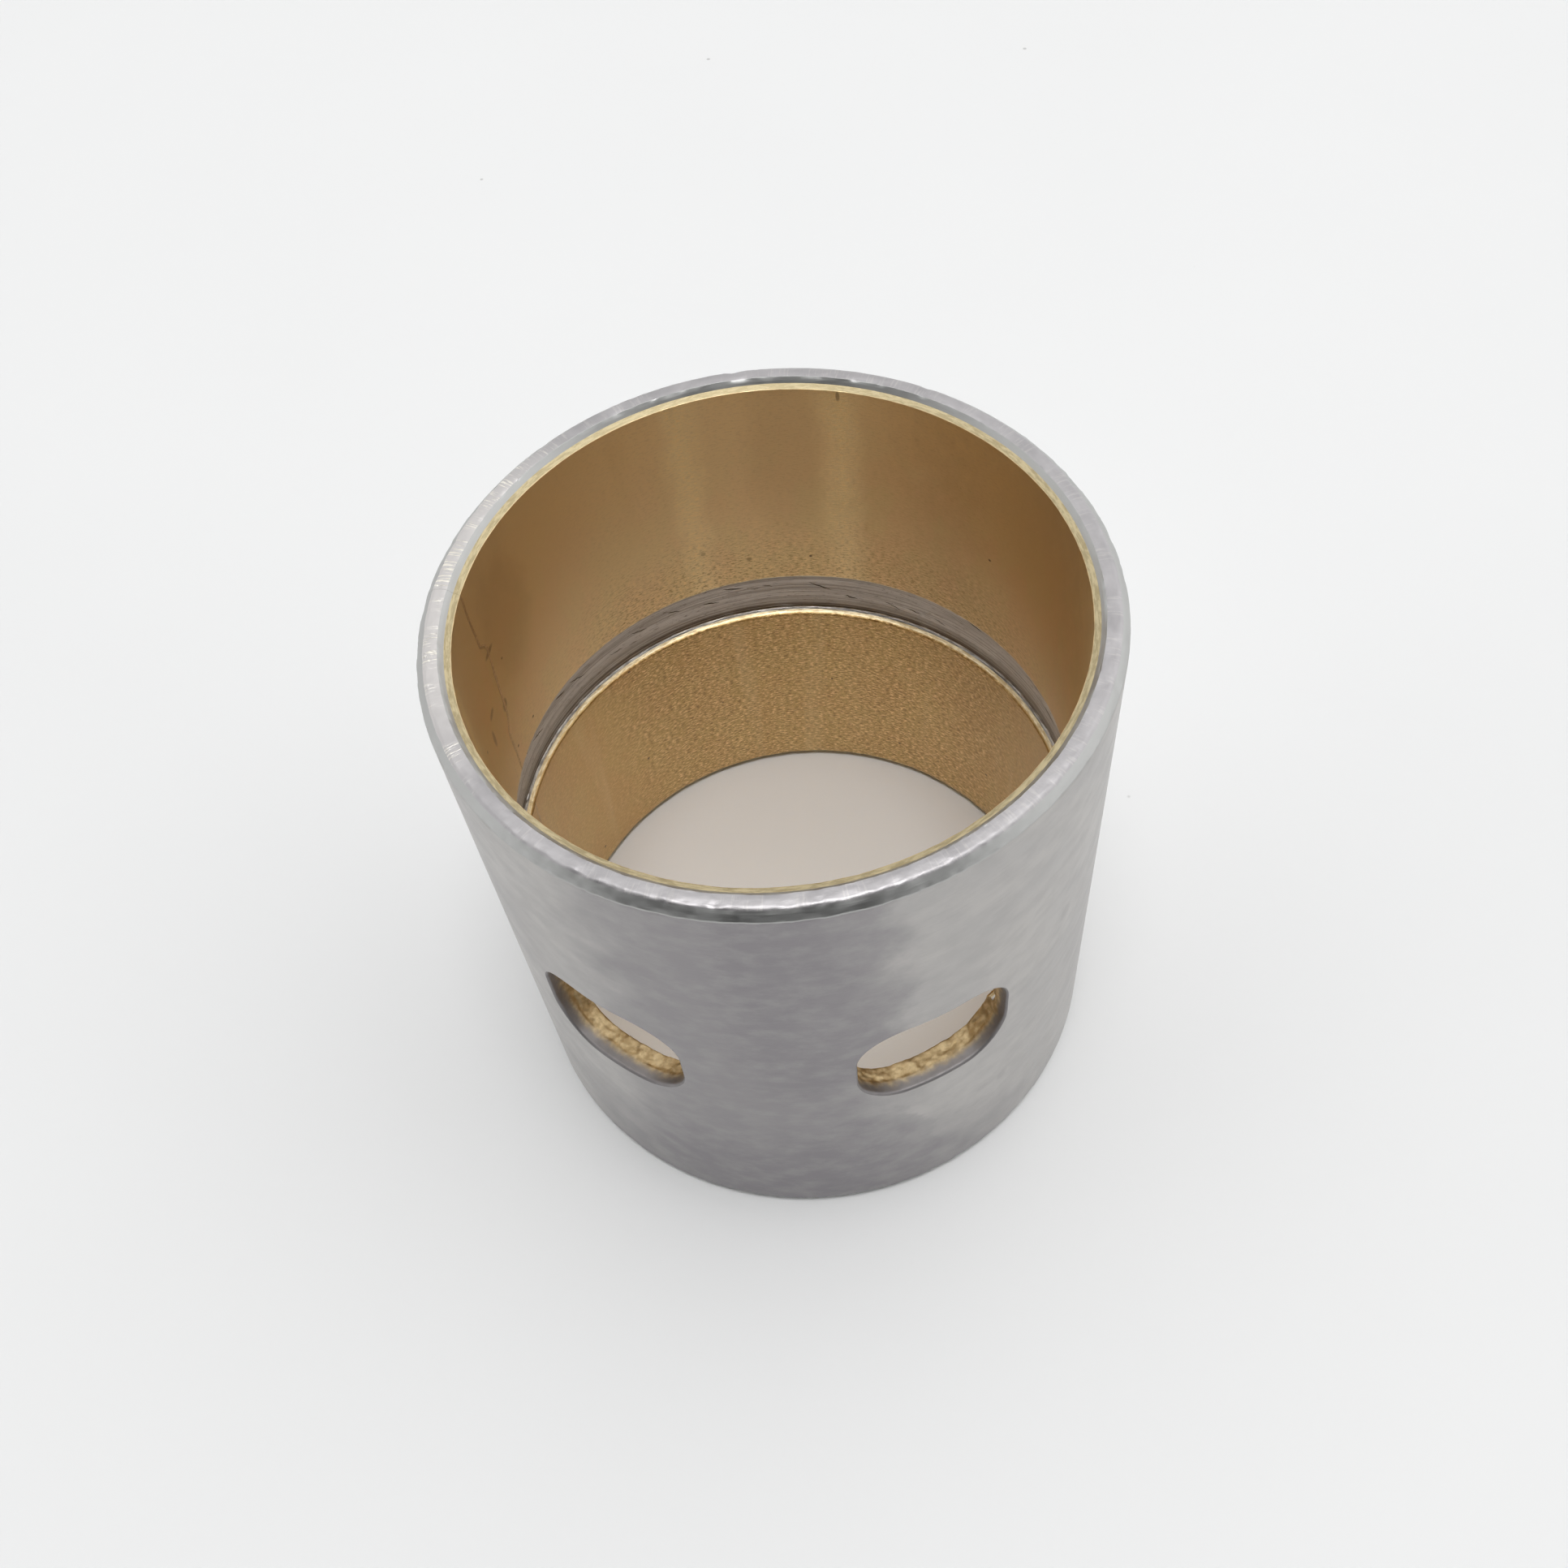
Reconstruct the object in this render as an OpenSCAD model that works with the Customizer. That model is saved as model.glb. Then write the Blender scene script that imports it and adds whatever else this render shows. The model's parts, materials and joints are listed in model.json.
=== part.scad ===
// Steel-backed plain bushing with a bronze running face, one oil groove and two oil slots.
// Stands on end: +Z is the bushing's axis, z = 0 is its lower end face, and -Y looks out
// midway between the two slots.

/* [Sleeve] */
// outer diameter
outer_d = 50; // [49:0.5:80]
// running diameter of the bronze
bore_d = 45; // [34:0.5:46]
// length along the axis
length = 50; // [40:1:70]
// thickness of the bronze layer
lining_t = 0.5; // [0.3:0.05:0.8]

/* [End chamfers] */
// length of the outside lead-in chamfer, along the axis
outer_chamfer_h = 0.7; // [0.3:0.1:1]
// angle of the outside chamfer from the axis
outer_chamfer_angle = 45; // [15:1:50]
// depth of the inside chamfer, along the axis
inner_chamfer_h = 0.6; // [0.3:0.1:1]
// width of the inside chamfer, across the end face
inner_chamfer_w = 0.85; // [0.6:0.05:1.1]

/* [Oil groove] */
// height of the groove's middle above the lower end
groove_mid = 25; // [15:0.5:30]
// width of the groove along the axis
groove_w = 5; // [2:0.1:7]
// how far the groove goes into the steel behind the bronze
groove_steel_depth = 0.25; // [0.1:0.05:0.6]

/* [Oil slots] */
// height of each slot along the axis
slot_h = 10.5; // [8.5:0.5:14]
// width of each slot across the wall
slot_w = 12.5; // [9:0.5:16]
// corner radius of each slot
slot_corner_r = 4; // [2:0.5:4.5]
// angle between the two slots round the axis
slot_pitch = 60; // [45:1:120]

/* [Hidden] */
$fn = 180;
outer_r = outer_d / 2;
bore_r = bore_d / 2;
bond_r = bore_r + lining_t;
groove_r = bond_r + groove_steel_depth;
groove_lo = groove_mid - groove_w / 2;
groove_hi = groove_mid + groove_w / 2;
outer_chamfer_w = outer_chamfer_h * tan(outer_chamfer_angle);
face_r = bore_r + inner_chamfer_w;
// how deep the inside chamfer has got where bronze meets steel
bond_chamfer_h = inner_chamfer_h * (face_r - bond_r) / inner_chamfer_w;
// how far a slot cutter starts inside the bore and ends outside the sleeve
cut_margin = 4;
cut_inner = bore_r - cut_margin;
cut_len = outer_r - bore_r + 2 * cut_margin;

// one slot's outline, a rectangle with round corners, standing off the axis and cut outwards
module slot_cutter() {
    core_w = slot_w - 2 * slot_corner_r;
    core_h = slot_h - 2 * slot_corner_r;
    translate([0, -cut_inner, groove_mid])
        rotate([90, 0, 0]) {
            translate([-slot_w / 2, -core_h / 2, 0])
                cube([slot_w, core_h, cut_len]);
            translate([-core_w / 2, -slot_h / 2, 0])
                cube([core_w, slot_h, cut_len]);
            for (x = [-core_w / 2, core_w / 2], y = [-core_h / 2, core_h / 2])
                translate([x, y, 0])
                    cylinder(r = slot_corner_r, h = cut_len);
        }
}

module both_slots() {
    for (turn = [-slot_pitch / 2, slot_pitch / 2])
        rotate([0, 0, turn])
            slot_cutter();
}

// the steel tube: chamfered at both ends, grooved inside and slotted through
module steel_backing() {
    color("#a7a7ac")
        difference() {
            rotate_extrude()
                polygon([
                    [bond_r, bond_chamfer_h],
                    [face_r, 0],
                    [outer_r - outer_chamfer_w, 0],
                    [outer_r, outer_chamfer_h],
                    [outer_r, length - outer_chamfer_h],
                    [outer_r - outer_chamfer_w, length],
                    [face_r, length],
                    [bond_r, length - bond_chamfer_h],
                    [bond_r, groove_hi],
                    [groove_r, groove_hi],
                    [groove_r, groove_lo],
                    [bond_r, groove_lo],
                ]);
            both_slots();
        }
}

// one bronze ring: plain at the groove, chamfered where it meets the end of the sleeve
module lining_ring(groove_edge, bond_edge, bore_edge) {
    color("#b8924a")
        difference() {
            rotate_extrude()
                polygon([
                    [bore_r, groove_edge],
                    [bond_r, groove_edge],
                    [bond_r, bond_edge],
                    [bore_r, bore_edge],
                ]);
            both_slots();
        }
}

module bronze_lining_upper() {
    lining_ring(groove_hi, length - bond_chamfer_h, length - inner_chamfer_h);
}

module bronze_lining_lower() {
    lining_ring(groove_lo, bond_chamfer_h, inner_chamfer_h);
}

steel_backing();
bronze_lining_upper();
bronze_lining_lower();
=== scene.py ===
import json
import math

import bmesh
import bpy
import numpy as np
from mathutils import Matrix, Vector, noise


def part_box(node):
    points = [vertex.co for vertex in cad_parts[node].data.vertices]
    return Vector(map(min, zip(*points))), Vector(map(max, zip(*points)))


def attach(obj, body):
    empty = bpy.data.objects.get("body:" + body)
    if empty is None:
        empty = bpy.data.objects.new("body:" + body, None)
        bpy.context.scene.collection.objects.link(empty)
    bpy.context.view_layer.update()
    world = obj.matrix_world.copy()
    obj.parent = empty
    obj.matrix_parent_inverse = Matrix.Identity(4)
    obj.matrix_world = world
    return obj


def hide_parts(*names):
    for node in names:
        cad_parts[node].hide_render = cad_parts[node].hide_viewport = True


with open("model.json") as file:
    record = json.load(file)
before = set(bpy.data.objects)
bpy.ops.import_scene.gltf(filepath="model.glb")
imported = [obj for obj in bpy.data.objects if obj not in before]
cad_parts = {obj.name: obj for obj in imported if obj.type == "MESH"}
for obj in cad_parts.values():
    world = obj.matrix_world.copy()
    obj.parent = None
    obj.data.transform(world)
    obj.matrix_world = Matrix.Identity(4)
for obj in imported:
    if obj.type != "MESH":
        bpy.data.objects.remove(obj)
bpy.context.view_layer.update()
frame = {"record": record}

# Sizes are in millimetres, and MM turns them into Blender's metres.
MM = 0.001

# Driving sizes, from the frame.
OUTER_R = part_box("steel_backing")[1].x / MM
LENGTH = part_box("steel_backing")[1].z / MM
BOND_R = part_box("bronze_lining_upper")[1].x / MM
GROOVE_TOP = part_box("bronze_lining_upper")[0].z / MM
GROOVE_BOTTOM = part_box("bronze_lining_lower")[1].z / MM
MOUNTS = {mount["name"]: mount for mount in frame["record"]["mounts"]}
BORE_R = MOUNTS["bore"]["dims"]["r_mm"]
SLOTS = [MOUNTS["oil_slot_left"]["axis"], MOUNTS["oil_slot_right"]["axis"]]
MIDDLE = LENGTH / 2
MIDDLE_R = (OUTER_R + BORE_R) / 2

# The ends: where the flat face starts, the outside chamfer, and how far below the face the inside
# chamfer meets the bond and the bore.
FACE_R = 23.35
CHAMFER = 0.7
BOND_DROP = 0.40
BORE_DROP = 0.60

# The groove: its floor, the low step its tool left in the steel, and the slope it left on the bronze.
GROOVE_R = 23.25
LEDGE_RISE = 0.05
LIP_DROP = 0.15

# The slots: width across the sleeve, height along it, corner radius, and where the wall starts to tear.
SLOT_W = 12.5
SLOT_H = 10.5
SLOT_CORNER = 4.0
TEAR_R = MIDDLE_R + 0.2

# Where a slot's wall is still all grey, and where it's all gold.
GREY_R = 24.5
GOLD_R = 23.6

# How a slot's mouths flare: (height above the outside or the bore, flare).
OUTER_MOUTH = [
    (0.5, 0.9), (0.12, 0.30), (0.0, 0.19), (-0.04, 0.12), (-0.09, 0.06), (-0.16, 0.02), (-0.26, 0.0),
]
INNER_MOUTH = [(0.12, 0.01), (0.06, 0.04), (0.0, 0.09), (-0.3, 0.4)]

# The rolled strip's joint: its direction round the axis in degrees, and the width of its gap.
JOINT_AZIMUTH = -93.0
JOINT_GAP = 0.012

# How many tears the tool left in the groove's floor.
TEARS = 44

# Columns round the axis, and the rows' spacing on the bonded faces, on plain bands, on the band that
# the slots are cut through and beside worn edges.
COLUMNS = 720
HIDDEN = 5.0
COARSE = 3.0
FINE = 0.35
CLOSE = 0.12

# Half the height of the band that the slots are cut through.
SLOT_BAND = 7.0

# A short plain band beside each worn outer edge, so that the edge's unevenness doesn't shade the wall.
EDGE_BAND = 0.45

# Rows that round a corner, and the size of the bumps that wear leaves along it.
ROUNDING_STEPS = 5
WEAR_SIZE = 1.1

SHARP_ANGLE = math.radians(38)

# Nicks in the ends' outer edges: azimuth, z, size and depth.
TOP_EDGE = LENGTH - CHAMFER / 2
LOW_EDGE = CHAMFER / 2
NICKS = [
    (-168.6, TOP_EDGE, 0.40, 0.26), (-150, TOP_EDGE, 0.30, 0.10), (-131, TOP_EDGE, 0.35, 0.12),
    (-118, TOP_EDGE, 0.30, 0.12), (-104, TOP_EDGE, 0.40, 0.10), (-60, TOP_EDGE, 0.45, 0.07),
    (75, TOP_EDGE, 0.35, 0.10), (120, TOP_EDGE, 0.40, 0.15), (155, TOP_EDGE, 0.30, 0.10),
    (-75, LOW_EDGE, 0.45, 0.15), (10, LOW_EDGE, 0.35, 0.10), (52, LOW_EDGE, 0.40, 0.12),
    (140, LOW_EDGE, 0.50, 0.18),
]

# The outside steel's shades; the darkest is for stains, smudges and the painted shade at the front.
STEEL_LIGHT = (0.545, 0.525, 0.503)
STEEL_DULL = (0.445, 0.433, 0.425)
STEEL_STAIN_AND_SHADE = (0.24, 0.225, 0.24)


# ---------------------------------------------------------------- mesh helpers

def smoothstep(low, high, value):
    """0 at low, 1 at high, and smooth between them."""
    t = np.clip((value - low) / (high - low), 0, 1)
    return t * t * (3 - 2 * t)


def rough_noise(points, size, octaves=3):
    """Fractal noise about -1 to 1 at each point, with bumps of about that size in millimetres."""
    return np.array([noise.fractal(Vector(p) / size, 0.6, 2.0, octaves) for p in points])


def polar(azimuth, radius, z):
    """Points at an azimuth in radians from -Y towards +X."""
    return np.stack([radius * np.sin(azimuth), -radius * np.cos(azimuth), z], axis=-1)


def way_to(azimuth, elevation):
    """The direction at an azimuth from -Y towards +X and an elevation, both in degrees."""
    azimuth, elevation = math.radians(azimuth), math.radians(elevation)
    return polar(azimuth, math.cos(elevation), math.sin(elevation))


def new_object(name, points, faces, materials, face_materials=None):
    """A mesh object from points in millimetres."""
    mesh = bpy.data.meshes.new(name)
    mesh.from_pydata((np.asarray(points) * MM).tolist(), [], faces)
    for material in materials:
        mesh.materials.append(material)
    if face_materials is not None:
        mesh.polygons.foreach_set("material_index", face_materials)
    mesh.update()
    piece = bpy.data.objects.new(name, mesh)
    bpy.context.scene.collection.objects.link(piece)
    return piece


def face_outwards(piece):
    """Turns a closed mesh's faces so that they all look out."""
    mesh = bmesh.new()
    mesh.from_mesh(piece.data)
    bmesh.ops.recalc_face_normals(mesh, faces=mesh.faces)
    mesh.to_mesh(piece.data)
    mesh.free()


def closed_cutter(name, points, faces, surface):
    """A closed mesh to cut with. surface is the material slot of the faces that it leaves."""
    faces = [tuple(map(int, face)) for face in faces]
    cutter = new_object(name, points, faces, [], [surface] * len(faces))
    face_outwards(cutter)
    return cutter


def rounded_profile(corners):
    """Rows of a closed section. A corner is (r, z, rounding, spacing, surface): the last two are for
    the side that follows it. Returns the rows' (r, z), how worn each row is, and each side's surface."""
    rows, wear, surfaces = [], [], []
    spots = np.array([corner[:2] for corner in corners], float)
    for i, (r, z, rounding, spacing, surface) in enumerate(corners):
        here = spots[i]
        back = spots[i - 1] - here
        ahead = spots[(i + 1) % len(spots)] - here
        start = here + back / np.linalg.norm(back) * rounding
        end = here + ahead / np.linalg.norm(ahead) * rounding
        steps = ROUNDING_STEPS if rounding > 0 else 0
        for t in np.linspace(0, 1, steps + 1):
            rows.append((1 - t) ** 2 * start + 2 * t * (1 - t) * here + t * t * end)
            wear.append(1.0 if rounding > 0 else 0.0)
            surfaces.append(surface)
        next_rounding = corners[(i + 1) % len(corners)][2]
        side = np.linalg.norm(ahead) - rounding - next_rounding
        count = max(int(round(side / spacing)), 1)
        for k in range(1, count):
            rows.append(end + ahead / np.linalg.norm(ahead) * side * k / count)
            wear.append(0.0)
            surfaces.append(surface)
    return np.array(rows), np.array(wear), surfaces


def press_nicks(points, nicks):
    """Dents an end's outer edge. A nick is (azimuth in degrees, z, size, depth)."""
    for azimuth, z, size, depth in nicks:
        spot = polar(math.radians(azimuth), OUTER_R - CHAMFER / 2, z)
        share = np.exp(-(np.linalg.norm(points - spot, axis=1) / size) ** 2)
        outwards = way_to(azimuth, 45 if z > MIDDLE else -45)
        points -= share[:, None] * depth * outwards


def lathe(name, corners, materials, wear_depth, nicks=()):
    """Sweeps a rounded section round the axis. Its rounded corners are a little uneven, by wear_depth."""
    rows, wear, surfaces = rounded_profile(corners)
    azimuth = np.linspace(0, 2 * math.pi, COLUMNS, endpoint=False)
    along = np.roll(rows, -1, axis=0) - np.roll(rows, 1, axis=0)
    normal = np.stack([along[:, 1], -along[:, 0]], axis=1)
    normal /= np.linalg.norm(normal, axis=1)[:, None]
    radius = np.repeat(rows[:, 0][:, None], COLUMNS, axis=1)
    height = np.repeat(rows[:, 1][:, None], COLUMNS, axis=1)
    for i in np.nonzero(wear)[0]:
        ring = polar(azimuth, rows[i, 0], np.full(COLUMNS, rows[i, 1]))
        depth = wear_depth * (rough_noise(ring, WEAR_SIZE) - 0.4)
        depth = np.minimum(depth, 0)
        radius[i] += normal[i, 0] * depth
        height[i] += normal[i, 1] * depth
    points = polar(azimuth[None, :], radius, height).reshape(-1, 3)
    press_nicks(points, nicks)
    count = len(rows)
    grid = np.arange(count * COLUMNS).reshape(count, COLUMNS)
    up = np.roll(grid, -1, axis=0)
    faces = np.stack([grid, np.roll(grid, -1, axis=1), np.roll(up, -1, axis=1), up], axis=-1).reshape(-1, 4)
    slots = {material.name: index for index, material in enumerate(materials)}
    face_materials = np.repeat([slots[surface] for surface in surfaces], COLUMNS)
    return new_object(name, points, faces.tolist(), materials, face_materials)


def slot_outline(step=0.16):
    """The slot's outline, as points (across, along) and their outward directions."""
    half_w = SLOT_W / 2 - SLOT_CORNER
    half_h = SLOT_H / 2 - SLOT_CORNER
    points, normals = [], []
    centres = [(half_w, half_h), (-half_w, half_h), (-half_w, -half_h), (half_w, -half_h)]
    turns = int(math.pi / 2 * SLOT_CORNER / step)
    for quarter, centre in enumerate(centres):
        for angle in np.linspace(0, math.pi / 2, turns) + quarter * math.pi / 2:
            direction = np.array([math.cos(angle), math.sin(angle)])
            points.append(np.array(centre) + direction * SLOT_CORNER)
            normals.append(direction)
        straight = 2 * (half_w if quarter % 2 == 0 else half_h)
        heading = np.array([-direction[1], direction[0]])
        count = int(straight / step)
        for _ in range(1, count):
            points.append(points[-1] + heading * straight / count)
            normals.append(direction)
    return np.array(points), np.array(normals)


def slot_ring(outline, normals, r, flare, lump_shift):
    """The slot's outline at one radius: clean outside TEAR_R, and torn and lumpy inside it. lump_shift
    moves the lumps, so that no two slots are torn alike."""
    torn = float(smoothstep(TEAR_R, TEAR_R - 0.35, r))
    spots = np.column_stack([outline, np.full(len(outline), r)])
    lumps = rough_noise(spots + np.array([lump_shift, 0, 0]), 1.3) * 0.16
    lumps += rough_noise(spots + 31.0, 0.35) * 0.05
    offset = flare + torn * (0.10 + lumps) + (1 - torn) * 0.012 * rough_noise(spots, 0.8)
    across = outline[:, 0] + normals[:, 0] * offset
    along = outline[:, 1] + normals[:, 1] * offset
    return np.column_stack([across, -np.sqrt(r * r - across * across), along + MIDDLE])


def slot_cutter(axis, surface):
    """What the punch took out at one slot. Its mouths flare, which rounds the edges that it leaves."""
    outline, normals = slot_outline()
    levels = [(OUTER_R + height, flare) for height, flare in OUTER_MOUTH]
    levels += [(r, 0.0) for r in np.arange(OUTER_R - 0.35, BORE_R + 0.2, -0.09)]
    levels += [(BORE_R + height, flare) for height, flare in INNER_MOUTH]
    points = np.concatenate([slot_ring(outline, normals, r, flare, axis[0] * 50) for r, flare in levels])
    grid = np.arange(len(points)).reshape(len(levels), len(outline))
    ahead = np.roll(grid, -1, axis=1)
    faces = np.stack([grid[:-1], ahead[:-1], ahead[1:], grid[1:]], axis=-1).reshape(-1, 4).tolist()
    for end in (0, -1):
        hub = len(points)
        points = np.vstack([points, [0, -levels[end][0], MIDDLE]])
        faces += [(start, stop, hub) for start, stop in zip(grid[end], ahead[end])]
    turn = math.atan2(axis[0], -axis[1])
    cos, sin = math.cos(turn), math.sin(turn)
    turned = points @ np.array([[cos, sin, 0], [-sin, cos, 0], [0, 0, 1]])
    return closed_cutter("slot_cutter", turned, faces, surface)


def ribbon_cutter(path, levels, surface, taper=False):
    """A thin cut along a path of (azimuth in degrees, z). Each level is (r, width)."""
    line = np.array([(math.radians(azimuth) * MIDDLE_R, z) for azimuth, z in path])
    tangent = np.gradient(line, axis=0)
    tangent /= np.linalg.norm(tangent, axis=1)[:, None]
    side = np.stack([-tangent[:, 1], tangent[:, 0]], axis=1)
    count = len(line)
    share = np.ones(count)
    if taper:
        share = np.sin(np.linspace(0.03, math.pi - 0.03, count))
    points = []
    for r, width in levels:
        for sign in (1, -1):
            edge = line + side * (sign * width / 2 * share)[:, None]
            points.append(polar(edge[:, 0] / MIDDLE_R, r, edge[:, 1]))
    points = np.concatenate(points)
    grid = np.arange(len(points)).reshape(len(levels), 2, count)
    faces = []
    for i in range(len(levels) - 1):
        for k in range(count - 1):
            faces.append((grid[i, 0, k], grid[i, 0, k + 1], grid[i + 1, 0, k + 1], grid[i + 1, 0, k]))
            faces.append((grid[i, 1, k], grid[i + 1, 1, k], grid[i + 1, 1, k + 1], grid[i, 1, k + 1]))
        for k in (0, count - 1):
            faces.append((grid[i, 0, k], grid[i + 1, 0, k], grid[i + 1, 1, k], grid[i, 1, k]))
    for i in (0, len(levels) - 1):
        for k in range(count - 1):
            faces.append((grid[i, 0, k], grid[i, 1, k], grid[i, 1, k + 1], grid[i, 0, k + 1]))
    return closed_cutter("ribbon_cutter", points, faces, surface)


def cut_away(piece, cutters):
    """Takes the cutters out of the piece."""
    for cutter in cutters:
        modifier = piece.modifiers.new("cut", "BOOLEAN")
        modifier.operation = "DIFFERENCE"
        modifier.solver = "MANIFOLD"
        modifier.object = cutter
    graph = bpy.context.evaluated_depsgraph_get()
    mesh = bpy.data.meshes.new_from_object(piece.evaluated_get(graph))
    piece.modifiers.clear()
    piece.data = mesh
    mesh.shade_smooth()
    mesh.set_sharp_from_angle(angle=SHARP_ANGLE)


# ------------------------------------------------------------ material helpers

class Nodes:
    """A node tree, with short ways to add to it."""

    def __init__(self, tree):
        self.tree = tree

    def feed(self, socket, value):
        """Joins a socket to another, or sets its value."""
        if isinstance(value, bpy.types.NodeSocket):
            self.tree.links.new(value, socket)
        else:
            socket.default_value = value

    def math(self, operation, *values):
        """The result of one operation on up to three numbers."""
        node = self.tree.nodes.new("ShaderNodeMath")
        node.operation = operation
        for socket, value in zip(node.inputs, values):
            self.feed(socket, value)
        return node.outputs[0]

    def between(self, value, low, high, to_low=0.0, to_high=1.0):
        """value mapped smoothly from low..high to to_low..to_high, and held at the ends."""
        node = self.tree.nodes.new("ShaderNodeMapRange")
        node.interpolation_type = "SMOOTHSTEP"
        for socket, number in zip(node.inputs, (value, low, high, to_low, to_high)):
            self.feed(socket, number)
        return node.outputs[0]

    def stretch(self, vector, scale):
        """A vector times a scale for each axis."""
        node = self.tree.nodes.new("ShaderNodeVectorMath")
        node.operation = "MULTIPLY"
        self.feed(node.inputs[0], vector)
        node.inputs[1].default_value = scale
        return node.outputs[0]

    def noise(self, vector, size, detail=3.0, roughness=0.5, distortion=0.0):
        """Noise from 0 to 1 whose bumps are size millimetres along each axis of the vector."""
        node = self.tree.nodes.new("ShaderNodeTexNoise")
        self.feed(node.inputs["Vector"], self.stretch(vector, [1 / length for length in size]))
        node.inputs["Scale"].default_value = 1.0
        node.inputs["Detail"].default_value = detail
        node.inputs["Roughness"].default_value = roughness
        node.inputs["Distortion"].default_value = distortion
        return node.outputs[0]

    def specks(self, vector, size, low, high):
        """1 at scattered specks and 0 elsewhere, one to each cell of that size in millimetres."""
        node = self.tree.nodes.new("ShaderNodeTexVoronoi")
        self.feed(node.inputs["Vector"], self.stretch(vector, [1 / length for length in size]))
        node.inputs["Scale"].default_value = 1.0
        return self.between(node.outputs["Distance"], low, high, 1.0, 0.0)

    def mix(self, share, a, b):
        """A colour between a and b, which are the node's inputs 6 and 7."""
        node = self.tree.nodes.new("ShaderNodeMix")
        node.data_type = "RGBA"
        self.feed(node.inputs["Factor"], share)
        self.feed(node.inputs[6], (*a, 1) if isinstance(a, tuple) else a)
        self.feed(node.inputs[7], (*b, 1) if isinstance(b, tuple) else b)
        return node.outputs[2]


class Surface(Nodes):
    """One material."""

    def __init__(self, name, metallic):
        self.material = bpy.data.materials.new(name)
        self.material.use_nodes = True
        super().__init__(self.material.node_tree)
        self.shader = self.tree.nodes["Principled BSDF"]
        self.shader.inputs["Metallic"].default_value = metallic

    def bump(self, height, depth, after=None):
        """Bumps of that depth in millimetres, on top of the ones before."""
        node = self.tree.nodes.new("ShaderNodeBump")
        node.inputs["Distance"].default_value = depth * MM
        self.feed(node.inputs["Height"], height)
        if after is not None:
            self.feed(node.inputs["Normal"], after)
        return node.outputs["Normal"]

    def strip(self):
        """Millimetres on the strip as if unrolled at the joint: round the axis from opposite the joint, up
        it, and out from it. Returns them joined, and then each one."""
        place = self.tree.nodes.new("ShaderNodeTexCoord").outputs["Object"]
        parts = self.tree.nodes.new("ShaderNodeSeparateXYZ")
        self.feed(parts.inputs[0], self.stretch(place, (1 / MM, 1 / MM, 1 / MM)))
        x, y, z = parts.outputs
        turn = math.radians(JOINT_AZIMUTH)
        away = (-math.sin(turn), math.cos(turn))
        ahead = self.math("ADD", self.math("MULTIPLY", x, away[0]), self.math("MULTIPLY", y, away[1]))
        aside = self.math("ADD", self.math("MULTIPLY", x, -away[1]), self.math("MULTIPLY", y, away[0]))
        round_axis = self.math("MULTIPLY", self.math("ARCTAN2", aside, ahead), BORE_R)
        out = self.math("SQRT", self.math("ADD", self.math("MULTIPLY", x, x), self.math("MULTIPLY", y, y)))
        joined = self.tree.nodes.new("ShaderNodeCombineXYZ")
        for socket, value in zip(joined.inputs, (round_axis, z, out)):
            self.feed(socket, value)
        return joined.outputs[0], round_axis, z, out

    def beside(self, round_axis, azimuth):
        """Millimetres round the axis from an azimuth in degrees, the short way round."""
        turn = (azimuth - JOINT_AZIMUTH) % 360 - 180
        half_round = math.pi * BORE_R
        apart = self.math("SUBTRACT", round_axis, math.radians(turn) * BORE_R)
        return self.math("WRAP", apart, half_round, -half_round)

    def patch(self, round_axis, z, spot, ragged=0.0):
        """1 in an oval patch and 0 outside it. The spot is (azimuth, height, half width, half height,
        softness), and ragged shifts its edge."""
        azimuth, height, half_w, half_h, softness = spot
        across = self.math("DIVIDE", self.beside(round_axis, azimuth), half_w)
        along = self.math("DIVIDE", self.math("SUBTRACT", z, height), half_h)
        reach = self.math("ADD", self.math("MULTIPLY", across, across), self.math("MULTIPLY", along, along))
        return self.between(self.math("ADD", reach, ragged), 1 - softness, 1 + softness, 1.0, 0.0)

    def finish(self, colour, roughness, normal):
        """Joins the results to the shader."""
        self.feed(self.shader.inputs["Base Color"], colour)
        self.feed(self.shader.inputs["Roughness"], roughness)
        self.feed(self.shader.inputs["Normal"], normal)
        return self.material


# ------------------------------------------------------------------- materials

# Oval patches: azimuth, height, half width and half height in millimetres, softness; then strength.
# The first and fourth stains, a broad band down the front and a broad patch low at the front, are painted
# shade where the wall mirrors the dark front of the room and the shadowed floor; the rest are stains.
STAINS_AND_FRONT_SHADE = [
    ((-3, 26, 9.5, 45, 0.8), 0.74), ((9, 39, 6.0, 18, 0.5), 0.48), ((17, 8, 5.0, 9.5, 0.15), 0.26),
    ((2, -4, 17, 16, 0.9), 0.85), ((-28, 9, 8.0, 5.0, 0.6), 0.22), ((-50, 34, 5.0, 7.0, 0.6), 0.15),
    ((80, 20, 7.0, 12, 0.7), 0.16), ((125, 33, 9.0, 8.0, 0.8), 0.20), ((168, 12, 6.0, 7.0, 0.8), 0.16),
    ((-145, 30, 8.0, 12, 0.9), 0.20), ((-112, 10, 5.0, 5.0, 0.8), 0.14),
]
SMUDGES = [
    ((45, 12, 0.5, 0.7, 0.8), 0.26), ((40, 12.5, 0.6, 0.4, 0.8), 0.20), ((60, 30, 0.6, 0.9, 0.8), 0.20),
    ((52, 17, 0.8, 0.3, 0.8), 0.15), ((-12, 18, 0.5, 0.5, 0.8), 0.15), ((27, 22, 0.9, 0.6, 0.8), 0.10),
    ((-150, 20, 0.7, 0.5, 0.8), 0.20), ((140, 14, 0.6, 0.8, 0.8), 0.20),
]
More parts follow.
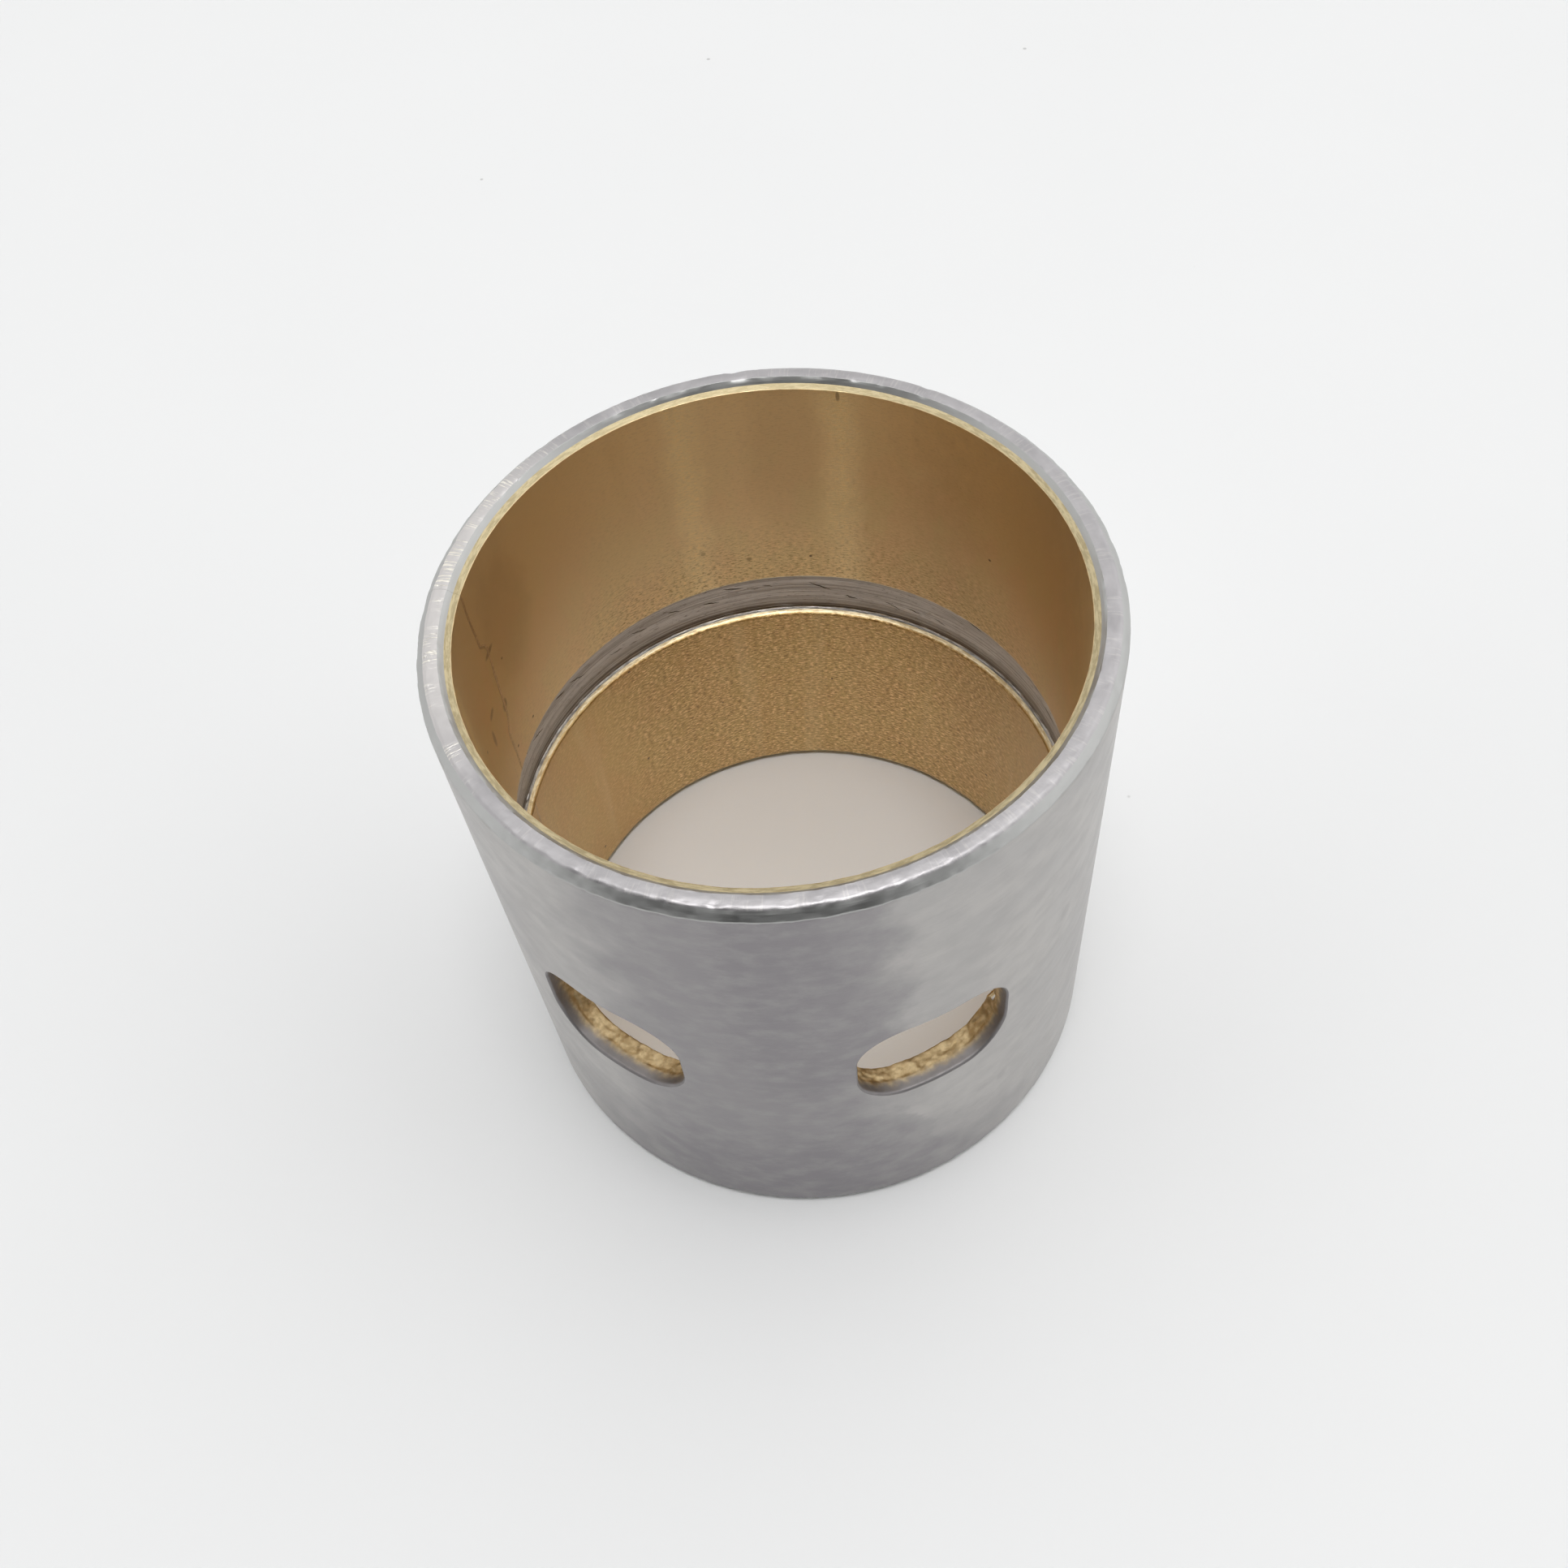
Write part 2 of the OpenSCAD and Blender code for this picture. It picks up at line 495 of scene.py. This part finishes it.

# Dark marks in the bore, given the same way, of which the broad one at azimuth 125 is painted shade on the
# right side; and its rubbed streaks: azimuth and half width.
BORE_MARKS_AND_SHADE = [
    ((-95.7, 41.5, 0.80, 0.25, 0.7), 0.60), ((-94.8, 35.3, 0.45, 0.60, 0.7), 0.65),
    ((-88, 37.6, 0.60, 0.30, 0.7), 0.50), ((-85, 36, 0.30, 0.90, 0.7), 0.50),
    ((-104, 42, 3.5, 6.0, 0.95), 0.16), ((-167, 30.4, 0.22, 0.20, 0.5), 0.50),
    ((-157, 32.3, 0.20, 0.20, 0.5), 0.40), ((176.5, 12.8, 0.10, 0.16, 0.4), 0.95),
    ((155, 36, 6.0, 14.0, 0.95), 0.12), ((-177, 42, 3.0, 9.0, 0.95), 0.12),
    ((125, 34, 11.0, 25.0, 0.95), 0.20), ((171, 48.9, 0.16, 0.5, 0.6), 0.60),
]
STREAKS = [(-156, 1.9), (171, 2.3), (60, 2.2), (15, 1.5), (-70, 1.8)]


def satin_steel():
    """The outside: ground satin steel, with fine lines round it under soft clouds, stains, smudges and
    painted shade down the front.
    """
    s = Surface("satin_steel", 1.0)
    strip, round_axis, z, _ = s.strip()
    clouds = s.between(s.noise(strip, (4.5, 3.5, 4.5), 3, 0.5), 0.3, 0.7, 0.25, 0.75)
    mottle = s.noise(strip, (2.3, 1.7, 2.3), 4, 0.6)
    lines = s.noise(strip, (5.0, 0.14, 5.0), 3, 0.65)
    fine = s.noise(strip, (0.16, 0.16, 0.16), 3, 0.7)
    ragged = s.math("MULTIPLY", s.math("SUBTRACT", s.noise(strip, (3.5, 3.5, 3.5), 4, 0.6), 0.5), 1.8)
    colour = s.mix(clouds, STEEL_DULL, STEEL_LIGHT)
    # Real stains and smudges, and the painted shade at the front, darken the steel.
    for spot, strength in STAINS_AND_FRONT_SHADE + SMUDGES:
        stain_and_shade = s.patch(round_axis, z, spot, ragged)
        colour = s.mix(s.math("MULTIPLY", stain_and_shade, strength), colour, STEEL_STAIN_AND_SHADE)
    colour = s.mix(s.between(mottle, 0.35, 0.75, 0.0, 0.5), colour, STEEL_DULL)
    colour = s.mix(s.between(lines, 0.5, 0.7, 0.0, 0.10), colour, STEEL_STAIN_AND_SHADE)
    roughness = s.between(mottle, 0.3, 0.7, 0.38, 0.46)
    normal = s.bump(fine, 0.008)
    normal = s.bump(lines, 0.006, normal)
    normal = s.bump(s.noise(strip, (6, 4, 6), 2), 0.015, normal)
    return s.finish(colour, roughness, normal)


def face_steel():
    """The end faces: cut bright, and scratched across by clusters of short scratches near the joint, whose
    near-white colour is painted glints; the patch round the joint is painted lighter, partly for scuffing
    and partly as painted sheen.
    """
    s = Surface("face_steel", 1.0)
    strip, round_axis, z, _ = s.strip()
    clouds = s.noise(strip, (2.2, 3, 1.2), 3, 0.6)
    scratches = s.noise(strip, (0.16, 6, 1.6), 3, 0.6)
    clusters = s.between(s.noise(strip, (1.8, 9, 9), 2, 0.5), 0.42, 0.54)
    scuffs_and_sheen = s.patch(round_axis, z, (-92, MIDDLE, 15.0, LENGTH, 0.7))
    lines = s.math("MULTIPLY", clusters, s.between(scratches, 0.52, 0.64))
    colour = s.mix(clouds, (0.36, 0.345, 0.355), (0.60, 0.58, 0.585))
    # The patch by the joint is painted lighter: partly scuffing, partly painted sheen.
    colour = s.mix(s.math("MULTIPLY", scuffs_and_sheen, 0.8), colour, (0.74, 0.71, 0.69))
    # Painted glints: the short scratches are near white.
    colour = s.mix(s.math("MULTIPLY", lines, s.math("ADD", scuffs_and_sheen, 0.12)), colour, (1.0, 0.96, 0.87))
    roughness = s.between(clouds, 0.3, 0.7, 0.42, 0.52)
    normal = s.bump(s.math("MULTIPLY", lines, scuffs_and_sheen), 0.03)
    normal = s.bump(s.noise(strip, (0.9, 0.7, 0.7), 3, 0.6), 0.035, normal)
    return s.finish(colour, roughness, normal)


def chamfer_steel(name, dull, bright):
    """A chamfer: turned steel between two greys, with fine lines round it."""
    s = Surface(name, 1.0)
    strip, _, _, _ = s.strip()
    clouds = s.noise(strip, (2.5, 0.8, 0.8), 3, 0.6)
    lines = s.noise(strip, (9, 0.12, 0.12), 2, 0.6)
    colour = s.mix(clouds, (dull, dull, dull * 0.98), (bright, bright, bright * 0.98))
    roughness = s.between(clouds, 0.3, 0.7, 0.38, 0.50)
    return s.finish(colour, roughness, s.bump(lines, 0.012))


def groove_steel():
    """The oil groove's floor: fine tool lines round it, deepest just above the ledge, where their dark is
    partly painted shade in the groove's lower corner, and scuffs.
    """
    s = Surface("groove_steel", 1.0)
    strip, _, z, _ = s.strip()
    lines = s.noise(strip, (20, 0.18, 1), 3, 0.7)
    ridges = s.noise(strip, (60, 0.22, 1), 2, 0.5)
    clouds = s.noise(strip, (2.5, 0.8, 2.5), 4, 0.6)
    scuffs = s.between(s.noise(strip, (0.8, 0.12, 0.8), 2, 0.6, 1.0), 0.58, 0.70)
    deep = s.between(z, GROOVE_BOTTOM + 1.5, GROOVE_BOTTOM + 0.3)
    colour = s.mix(clouds, (0.43, 0.40, 0.38), (0.70, 0.66, 0.62))
    colour = s.mix(s.math("MULTIPLY", s.between(lines, 0.45, 0.62), 0.6), colour, (0.30, 0.265, 0.24))
    colour = s.mix(s.math("MULTIPLY", scuffs, 0.7), colour, (0.20, 0.17, 0.14))
    # Dark furrows just above the ledge: partly tool lines, partly painted shade in the groove's lower
    # corner.
    furrows_and_shade = s.math("MULTIPLY", deep, s.between(ridges, 0.44, 0.54, 0.25, 1.0))
    colour = s.mix(furrows_and_shade, colour, (0.17, 0.14, 0.12))
    roughness = s.between(lines, 0.3, 0.7, 0.32, 0.48)
    normal = s.bump(lines, 0.06)
    normal = s.bump(clouds, 0.04, normal)
    return s.finish(colour, roughness, normal)


def ledge_steel():
    """The groove's lower corner: burnished by the tool's side, with broken fine lines."""
    s = Surface("ledge_steel", 1.0)
    strip, _, _, _ = s.strip()
    broken = s.noise(strip, (1.1, 0.08, 0.08), 3, 0.6)
    colour = s.mix(s.between(broken, 0.4, 0.6), (0.32, 0.30, 0.28), (0.74, 0.72, 0.69))
    return s.finish(colour, s.between(broken, 0.3, 0.7, 0.28, 0.40), s.bump(broken, 0.03))


def punched_wall():
    """The slots' walls: grey where the punch slid, and gold crumbs where it tore through."""
    s = Surface("punched_wall", 1.0)
    strip, _, _, out = s.strip()
    wander = s.noise(strip, (0.9, 0.9, 0.9), 3, 0.6)
    edge = s.math("ADD", out, s.math("MULTIPLY", s.math("SUBTRACT", wander, 0.5), 0.9))
    gold = s.between(edge, GREY_R, GOLD_R)
    crumbs = s.noise(strip, (0.6, 0.6, 0.6), 3, 0.5)
    bronze = s.mix(s.between(crumbs, 0.35, 0.7), (0.50, 0.37, 0.20), (0.80, 0.65, 0.40))
    colour = s.mix(gold, (0.27, 0.255, 0.255), bronze)
    roughness = s.between(crumbs, 0.3, 0.7, 0.50, 0.62)
    normal = s.bump(s.math("MULTIPLY", crumbs, s.math("ADD", gold, 0.1)), 0.035)
    return s.finish(colour, roughness, normal)


def bore_grain_and_glints(s, round_axis, z, lower):
    """How much the bore's grain and its painted glints and shade show: most in the lower ring, just above
    the groove and at the back under the highlight, less at the sides."""
    near_groove = s.math("MAXIMUM", s.between(z, GROOVE_TOP + 9, GROOVE_TOP, 0.15, 0.8), lower)
    highlight_zone = s.patch(round_axis, z, (178, MIDDLE, 21.0, LENGTH, 0.7))
    return s.math("MULTIPLY", near_groove, s.between(highlight_zone, 0.0, 1.0, 0.25, 1.0))


def bore_streaks(s, strip, round_axis, lower):
    """How rubbed the bore is: in streaks up the upper ring, and faintly in the lower one."""
    wander = s.math("MULTIPLY", s.noise(strip, (1.4, 3.0, 1.4), 3, 0.6), 2.0)
    rubbed = 0.0
    for azimuth, width in STREAKS:
        apart = s.math("ABSOLUTE", s.beside(round_axis, azimuth))
        rubbed = s.math("ADD", rubbed, s.between(s.math("ADD", apart, wander), width + 1.4, 0.7))
    return s.math("MULTIPLY", rubbed, s.between(lower, 0.0, 1.0, 1.0, 0.1))


def bore_colour(s, strip, round_axis, z, lower):
    """The bore's plain bronze: deeper in the lower ring, and paler at the top and on one side, which is
    painted light.
    """
    zones = s.between(s.noise(strip, (4, 6, 4), 4, 0.6), 0.4, 0.6)
    upper_colour = s.mix(zones, (0.75, 0.530, 0.285), (0.73, 0.550, 0.285))
    # Painted light: the upper ring is paler towards the top, where more light comes into the bore.
    upper_colour = s.mix(s.between(z, GROOVE_TOP + 8, LENGTH), upper_colour, (0.86, 0.67, 0.39))
    # Painted light: a paler patch high on the back left of the bore.
    paler = s.patch(round_axis, z, (-140, 40, 18.0, 16.0, 0.9))
    upper_colour = s.mix(s.math("MULTIPLY", paler, 0.3), upper_colour, (0.96, 0.78, 0.47))
    return s.mix(lower, upper_colour, s.mix(zones, (0.62, 0.405, 0.18), (0.62, 0.425, 0.185)))


def running_bronze():
    """The bore: satin bronze with a fine grain round it, partly painted glints and shade, soft streaks up
    it, dark marks, a patch of painted shade, and pits.
    """
    s = Surface("running_bronze", 1.0)
    strip, round_axis, z, _ = s.strip()
    lower = s.between(z, GROOVE_TOP, GROOVE_BOTTOM)
    grain = s.noise(strip, (0.46, 0.15, 0.46), 4, 0.7)
    streaks = s.between(s.noise(strip, (2.6, 45, 2.6), 3, 0.5), 0.55, 0.75)
    ragged = s.math("MULTIPLY", s.math("SUBTRACT", s.noise(strip, (1.6, 2.6, 1.6), 4, 0.6), 0.5), 1.4)
    pits = s.specks(strip, (4.5, 3.5, 4.5), 0.02, 0.045)
    grain_and_glints = bore_grain_and_glints(s, round_axis, z, lower)
    rubbed = bore_streaks(s, strip, round_axis, lower)
    rough_part = s.math("MAXIMUM", grain_and_glints, rubbed)
    colour = bore_colour(s, strip, round_axis, z, lower)
    colour = s.mix(s.math("MULTIPLY", rubbed, 0.6), colour, (0.98, 0.81, 0.46))
    # Painted glints: light specks on the grain, where the grain shows most and in the rubbed streaks.
    painted_glints = s.math("MULTIPLY", s.between(grain, 0.51, 0.62), rough_part)
    colour = s.mix(painted_glints, colour, (1.0, 0.76, 0.40))
    # Dark dashes in the grain: partly grain, partly painted shade between the glints.
    dashes = s.math("MULTIPLY", s.between(grain, 0.49, 0.36), grain_and_glints)
    colour = s.mix(dashes, colour, (0.34, 0.20, 0.09))
    colour = s.mix(s.math("MULTIPLY", streaks, 0.3), colour, (0.78, 0.60, 0.33))
    # The marks darken the bronze, and the broad one on the right is painted shade.
    for spot, strength in BORE_MARKS_AND_SHADE:
        mark_and_shade = s.patch(round_axis, z, spot, ragged)
        colour = s.mix(s.math("MULTIPLY", mark_and_shade, strength), colour, (0.24, 0.14, 0.08))
    colour = s.mix(pits, colour, (0.16, 0.11, 0.07))
    roughness = s.between(grain, 0.3, 0.7, 0.36, 0.44)
    normal = s.bump(s.math("MULTIPLY", grain, rough_part), 0.06)
    return s.finish(colour, roughness, normal)


def cut_bronze(name, dull, bright, smoothest):
    """A cut edge of the lining, a little smeared, between two shades and from the smoothest up."""
    s = Surface(name, 1.0)
    strip, _, _, _ = s.strip()
    smear = s.noise(strip, (0.9, 0.2, 0.2), 4, 0.65)
    colour = s.mix(s.between(smear, 0.38, 0.62), dull, bright)
    roughness = s.between(smear, 0.3, 0.7, smoothest, smoothest + 0.14)
    return s.finish(colour, roughness, s.bump(smear, 0.03))


def dark_gap():
    """Inside the joint and the tears: nearly black, a little mottled."""
    s = Surface("dark_gap", 0.0)
    strip, _, _, _ = s.strip()
    dirt = s.noise(strip, (0.4, 0.4, 0.4), 2)
    return s.finish(s.mix(dirt, (0.035, 0.025, 0.018), (0.09, 0.07, 0.05)), 0.6, s.bump(dirt, 0.01))


def pale_floor():
    """The table: smooth, pale and almost even."""
    s = Surface("pale_floor", 0.0)
    spot = s.tree.nodes.new("ShaderNodeTexCoord").outputs["Object"]
    spot = s.stretch(spot, (1 / MM, 1 / MM, 1 / MM))
    mottle = s.noise(spot, (40, 40, 40), 3, 0.5)
    dust = s.specks(spot, (16, 16, 16), 0.012, 0.022)
    colour = s.mix(mottle, (0.81, 0.81, 0.81), (0.83, 0.83, 0.83))
    colour = s.mix(s.math("MULTIPLY", dust, 0.5), colour, (0.30, 0.29, 0.28))
    return s.finish(colour, 0.6, s.bump(mottle, 0.01))


# ---------------------------------------------------------------------- pieces

def smooth_line(knots, step):
    """Points about a step apart on a line through the knots, with its bends softened."""
    knots = np.array(knots)
    reach = np.concatenate([[0], np.cumsum(np.linalg.norm(np.diff(knots, axis=0), axis=1))])
    spots = np.linspace(0, reach[-1], int(reach[-1] / step))
    line = np.column_stack([np.interp(spots, reach, knots[:, axis]) for axis in (0, 1)])
    line[1:-1] = (line[:-2] + 2 * line[1:-1] + line[2:]) / 4
    return line


def joint_path():
    """The joint's line up the strip, as (azimuth in degrees, z), with a lock in each half."""
    lock = [(0.0, 6.8), (-1.1, 7.6), (-0.95, 9.8), (-0.75, 13.0), (-0.8, 15.2), (-0.4, 16.6), (0.2, 17.2)]
    knots = [(0.0, -1.0), (0.1, 3.0)] + lock
    knots += [(0.15, MIDDLE)] + [(across, LENGTH - z) for across, z in reversed(lock)]
    knots += [(0.1, LENGTH - 3.0), (0.0, LENGTH + 1.0)]
    line = smooth_line(knots, 0.4)
    wander = rough_noise([(across, z, 7.0) for across, z in line], 3.0) * 0.10
    return [(JOINT_AZIMUTH + math.degrees((across + sway) / MIDDLE_R), z)
            for (across, z), sway in zip(line, wander)]


def joint_cutter(surface):
    """The gap along the joint, which opens a little at the outside."""
    mouth = 3 * JOINT_GAP
    levels = [
        (BORE_R - 0.2, JOINT_GAP), (OUTER_R - 0.05, JOINT_GAP), (OUTER_R, mouth), (OUTER_R + 0.2, mouth),
    ]
    return ribbon_cutter(joint_path(), levels, surface)


def valley_cutter(surface):
    """The shallow valley that wear has left along the joint in the bore."""
    levels = [(BORE_R - 0.2, 0.5), (BORE_R, 0.36), (BORE_R + 0.03, 0.05)]
    return ribbon_cutter(joint_path(), levels, surface)


def groove_tears(surface):
    """Short slanting tears that the groove's tool left in its floor."""
    rng = np.random.default_rng(11)
    cutters = []
    for k in range(TEARS):
        azimuth = (k + rng.uniform(-0.3, 0.3)) * 360 / TEARS
        z = rng.uniform(GROOVE_BOTTOM + 1.4, GROOVE_TOP - 0.9)
        length = rng.uniform(0.8, 2.4)
        slant = math.radians(rng.uniform(8, 26))
        path = []
        for t in np.linspace(-0.5, 0.5, 9):
            jog = 0.12 * noise.noise(Vector((t * 9, k * 3.7, 0)))
            path.append((azimuth + math.degrees(length * t * math.cos(slant) / GROOVE_R),
                         z + length * t * math.sin(slant) + jog))
        width = rng.uniform(0.07, 0.15)
        depth = rng.uniform(0.10, 0.16)
        levels = [(GROOVE_R - 0.15, width * 1.4), (GROOVE_R, width), (GROOVE_R + depth, 0.04)]
        cutters.append(ribbon_cutter(path, levels, surface, taper=True))
    return cutters


def steel_corners():
    """The steel tube's section, starting at the lower end face."""
    return [
        (FACE_R, 0, 0.02, 0.4, "face_steel"),
        (OUTER_R - CHAMFER, 0, 0.22, 0.3, "outer_chamfer"),
        (OUTER_R, CHAMFER, 0.1, CLOSE, "satin_steel"),
        (OUTER_R, CHAMFER + EDGE_BAND, 0, COARSE, "satin_steel"),
        (OUTER_R, MIDDLE - SLOT_BAND, 0, FINE, "satin_steel"),
        (OUTER_R, MIDDLE + SLOT_BAND, 0, COARSE, "satin_steel"),
        (OUTER_R, LENGTH - CHAMFER - EDGE_BAND, 0, CLOSE, "satin_steel"),
        (OUTER_R, LENGTH - CHAMFER, 0.1, 0.2, "outer_chamfer"),
        (OUTER_R - CHAMFER, LENGTH, 0.22, 0.2, "face_steel"),
        (FACE_R, LENGTH, 0.02, 0.2, "inner_chamfer"),
        (BOND_R, LENGTH - BOND_DROP, 0, HIDDEN, "satin_steel"),
        (BOND_R, GROOVE_TOP, 0, 0.25, "groove_steel"),
        (GROOVE_R, GROOVE_TOP, 0.06, 0.5, "groove_steel"),
        (GROOVE_R, GROOVE_BOTTOM + LEDGE_RISE, 0.08, 0.1, "ledge_steel"),
        (BOND_R, GROOVE_BOTTOM, 0, HIDDEN, "satin_steel"),
        (BOND_R, BOND_DROP, 0, 0.3, "inner_chamfer"),
    ]


def bronze_corners(low_end, high_end):
    """A bronze ring's section. An end is (z at the bore, the rise from there to the steel, the bore
    edge's rounding, surface)."""
    (low, low_rise, low_edge, low_look), (high, high_rise, high_edge, high_look) = low_end, high_end
    return [
        (BORE_R, low, low_edge, CLOSE, low_look),
        (BOND_R, low + low_rise, 0, HIDDEN, low_look),
        (BOND_R, high + high_rise, 0, CLOSE, high_look),
        (BORE_R, high, high_edge, 0.6, "running_bronze"),
    ]


def finish_piece(piece, wall, gap, own_cutters, node):
    """Cuts the slots, the joint and the piece's own cuts, and puts it in for its CAD node. wall and gap
    are the material slots that the first two leave."""
    cutters = [slot_cutter(axis, wall) for axis in SLOTS]
    cutters.append(joint_cutter(gap))
    cutters += own_cutters
    cut_away(piece, cutters)
    for cutter in cutters:
        bpy.data.objects.remove(cutter)
    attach(piece, "root")
    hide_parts(node)


def build_steel(wall_look, gap_look):
    """The steel tube, torn in its groove."""
    looks = [
        satin_steel(), face_steel(), chamfer_steel("outer_chamfer", 0.42, 0.54),
        chamfer_steel("inner_chamfer", 0.44, 0.58), groove_steel(), ledge_steel(), wall_look, gap_look,
    ]
    steel = lathe("steel_tube", steel_corners(), looks, 0.05, NICKS)
    wall, gap = looks.index(wall_look), looks.index(gap_look)
    finish_piece(steel, wall, gap, groove_tears(gap), "steel_backing")


def build_bronze(wall_look, gap_look):
    """The two bronze rings, each with the valley over the joint."""
    valley_look = cut_bronze("valley_bronze", (0.52, 0.36, 0.19), (0.70, 0.50, 0.28), 0.36)
    rim_look = cut_bronze("rim_bronze", (0.46, 0.38, 0.23), (0.66, 0.57, 0.37), 0.52)
    ledge_look = cut_bronze("ledge_bronze", (0.60, 0.46, 0.26), (0.92, 0.80, 0.56), 0.32)
    looks = [running_bronze(), rim_look, ledge_look, valley_look, wall_look, gap_look]
    wall, gap, valley = (looks.index(look) for look in (wall_look, gap_look, valley_look))
    rise = BORE_DROP - BOND_DROP
    upper_ends = [
        (GROOVE_TOP, 0, 0.12, "ledge_bronze"),
        (LENGTH - BORE_DROP, rise, 0.05, "rim_bronze"),
    ]
    lower_ends = [
        (BORE_DROP, -rise, 0.05, "rim_bronze"),
        (GROOVE_BOTTOM - LIP_DROP, LIP_DROP, 0.2, "ledge_bronze"),
    ]
    for side, ends in (("upper", upper_ends), ("lower", lower_ends)):
        ring = lathe(f"{side}_bronze", bronze_corners(*ends), looks, 0.03)
        finish_piece(ring, wall, gap, [valley_cutter(valley)], f"bronze_lining_{side}")


def build_bushing():
    """The steel tube and its two bronze rings, which share the looks of the slots' walls and the joint."""
    wall_look, gap_look = punched_wall(), dark_gap()
    build_steel(wall_look, gap_look)
    build_bronze(wall_look, gap_look)


# ----------------------------------------------------------------------- stage

def build_floor():
    """A wide pale table just under the bushing."""
    reach = 3000.0
    drop = -0.02
    corners = [(-reach, -reach, drop), (reach, -reach, drop), (reach, reach, drop), (-reach, reach, drop)]
    floor = new_object("floor", corners, [(0, 1, 2, 3)], [pale_floor()])


def build_room():
    """The light: a lamp overhead in a pale room, which is dark where the photographer stands."""
    world = bpy.data.worlds.new("room")
    bpy.context.scene.world = world
    world.use_nodes = True
    room = Nodes(world.node_tree)
    way = room.tree.nodes.new("ShaderNodeTexCoord").outputs["Generated"]

    def patch(azimuth, elevation, outside, inside, low, high):
        """low further than outside degrees from a direction, and high nearer than inside degrees."""
        facing = room.tree.nodes.new("ShaderNodeVectorMath")
        facing.operation = "DOT_PRODUCT"
        room.feed(facing.inputs[0], way)
        facing.inputs[1].default_value = way_to(azimuth, elevation)
        edges = [math.cos(math.radians(angle)) for angle in (outside, inside)]
        return room.between(facing.outputs["Value"], *edges, low, high)

    lamp = patch(15, 81, 15, 8, 0.0, 9.0)
    walls = room.math("MULTIPLY", patch(-145, 30, 80, 20, 1.28, 0.85), patch(0, 32, 70, 25, 1.0, 0.0))
    light = room.math("ADD", lamp, walls)
    backdrop = room.tree.nodes.new("ShaderNodeLightPath").outputs["Is Camera Ray"]
    shown = room.math("ADD", room.math("MULTIPLY", light, room.math("SUBTRACT", 1.0, backdrop)),
                      room.math("MULTIPLY", backdrop, 0.85))
    shade = room.tree.nodes["Background"]
    shade.inputs["Color"].default_value = (0.995, 1.0, 1.0, 1)
    room.feed(shade.inputs["Strength"], shown)


def build_camera():
    """Looks down at the bushing from in front, from close by."""
    azimuth, pitch, yaw, roll = (math.radians(angle) for angle in (10.0, 55.59, 0.39, -7.33))
    distance, height = 73.86, 135.64
    data = bpy.data.cameras.new("camera")
    data.sensor_width = 36.0
    data.lens = 36.90
    data.clip_start = 1.0 * MM
    data.clip_end = 10.0
    camera = bpy.data.objects.new("camera", data)
    bpy.context.scene.collection.objects.link(camera)
    spot = Vector((distance * math.sin(azimuth), -distance * math.cos(azimuth), height)) * MM
    heading = Matrix.Rotation(azimuth + yaw, 4, "Z")
    tilt = Matrix.Rotation(math.pi / 2 - pitch, 4, "X")
    lean = Matrix.Rotation(roll, 4, "Z")
    camera.matrix_world = Matrix.Translation(spot) @ heading @ tilt @ lean
    bpy.context.scene.camera = camera


build_bushing()
build_floor()
build_room()
build_camera()
bpy.context.scene.view_settings.view_transform = "Standard"
bpy.context.view_layer.update()
